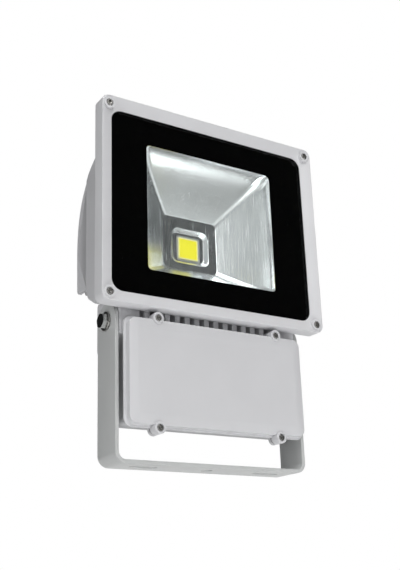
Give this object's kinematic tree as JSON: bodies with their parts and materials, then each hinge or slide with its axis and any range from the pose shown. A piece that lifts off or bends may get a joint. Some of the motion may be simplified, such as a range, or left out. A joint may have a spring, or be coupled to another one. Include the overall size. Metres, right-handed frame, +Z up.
{
  "type": "led floodlight",
  "caption": "Tilting square LED floodlight: bordered front glass over a reflector, finned casting, driver box below and a U bracket.",
  "frame": {"origin": "centre of the underside of the bracket's base, in the middle of its centre fixing hole", "axes": "+Z up along the bracket's legs, lamp faces -Y, X along the tilt axis"},
  "size_m": [0.285, 0.1161, 0.3935],
  "materials": {
    "cast_paint": "light grey powder coat on die-cast aluminium, fine orange peel",
    "bracket_paint": "light grey powder coat on bent steel strip",
    "steel": "plain stainless steel",
    "chrome": "bright plated hexagon bolt",
    "aluminium": "plain aluminium",
    "reflector_metal": "bright anodised reflector with a fine vertical grain",
    "black_print": "black print behind the glass",
    "rubber": "matt silicone",
    "glass": "clear toughened glass",
    "phosphor": "yellow phosphor silicone",
    "cable": "silicone lead",
    "nylon": "black nylon"
  },
  "bodies": {
    "bracket": {"bracket": "bracket_paint"},
    "head": {"coupling_screw_1": "steel", "coupling_screw_2": "steel", "coupling_screw_3": "steel", "coupling_screw_4": "steel", "cover_screw_1": "steel", "cover_screw_2": "steel", "cover_screw_3": "steel", "cover_screw_4": "steel", "driver_cover": "cast_paint", "driver_gasket": "rubber", "driver_housing": "cast_paint", "driver_module": "aluminium", "flat_washer_left": "steel", "flat_washer_right": "steel", "frame_screw_1": "steel", "frame_screw_2": "steel", "frame_screw_3": "steel", "frame_screw_4": "steel", "front_frame": "cast_paint", "gland_body": "nylon", "gland_cap": "nylon", "gland_locknut": "nylon", "gland_seal": "rubber", "glass_border": "black_print", "glass_pane": "glass", "glass_seal": "rubber", "heatsink": "cast_paint", "lead_grommet": "rubber", "led_emitter": "phosphor", "led_lead": "cable", "led_plate": "aluminium", "led_screw_1": "steel", "led_screw_2": "steel", "led_screw_3": "steel", "led_screw_4": "steel", "module_screw_1": "steel", "module_screw_2": "steel", "pivot_bolt_left": "chrome", "pivot_bolt_right": "chrome", "reflector": "reflector_metal", "reflector_screw_1": "steel", "reflector_screw_2": "steel", "reflector_screw_3": "steel", "reflector_screw_4": "steel"}
  },
  "joints": [
    {"name": "tilt", "type": "hinge", "parent": "bracket", "child": "head", "pos_m": [0, 0, 0.1485], "axis": [1, 0, 0], "range_deg": [-90, 55]}
  ]
}
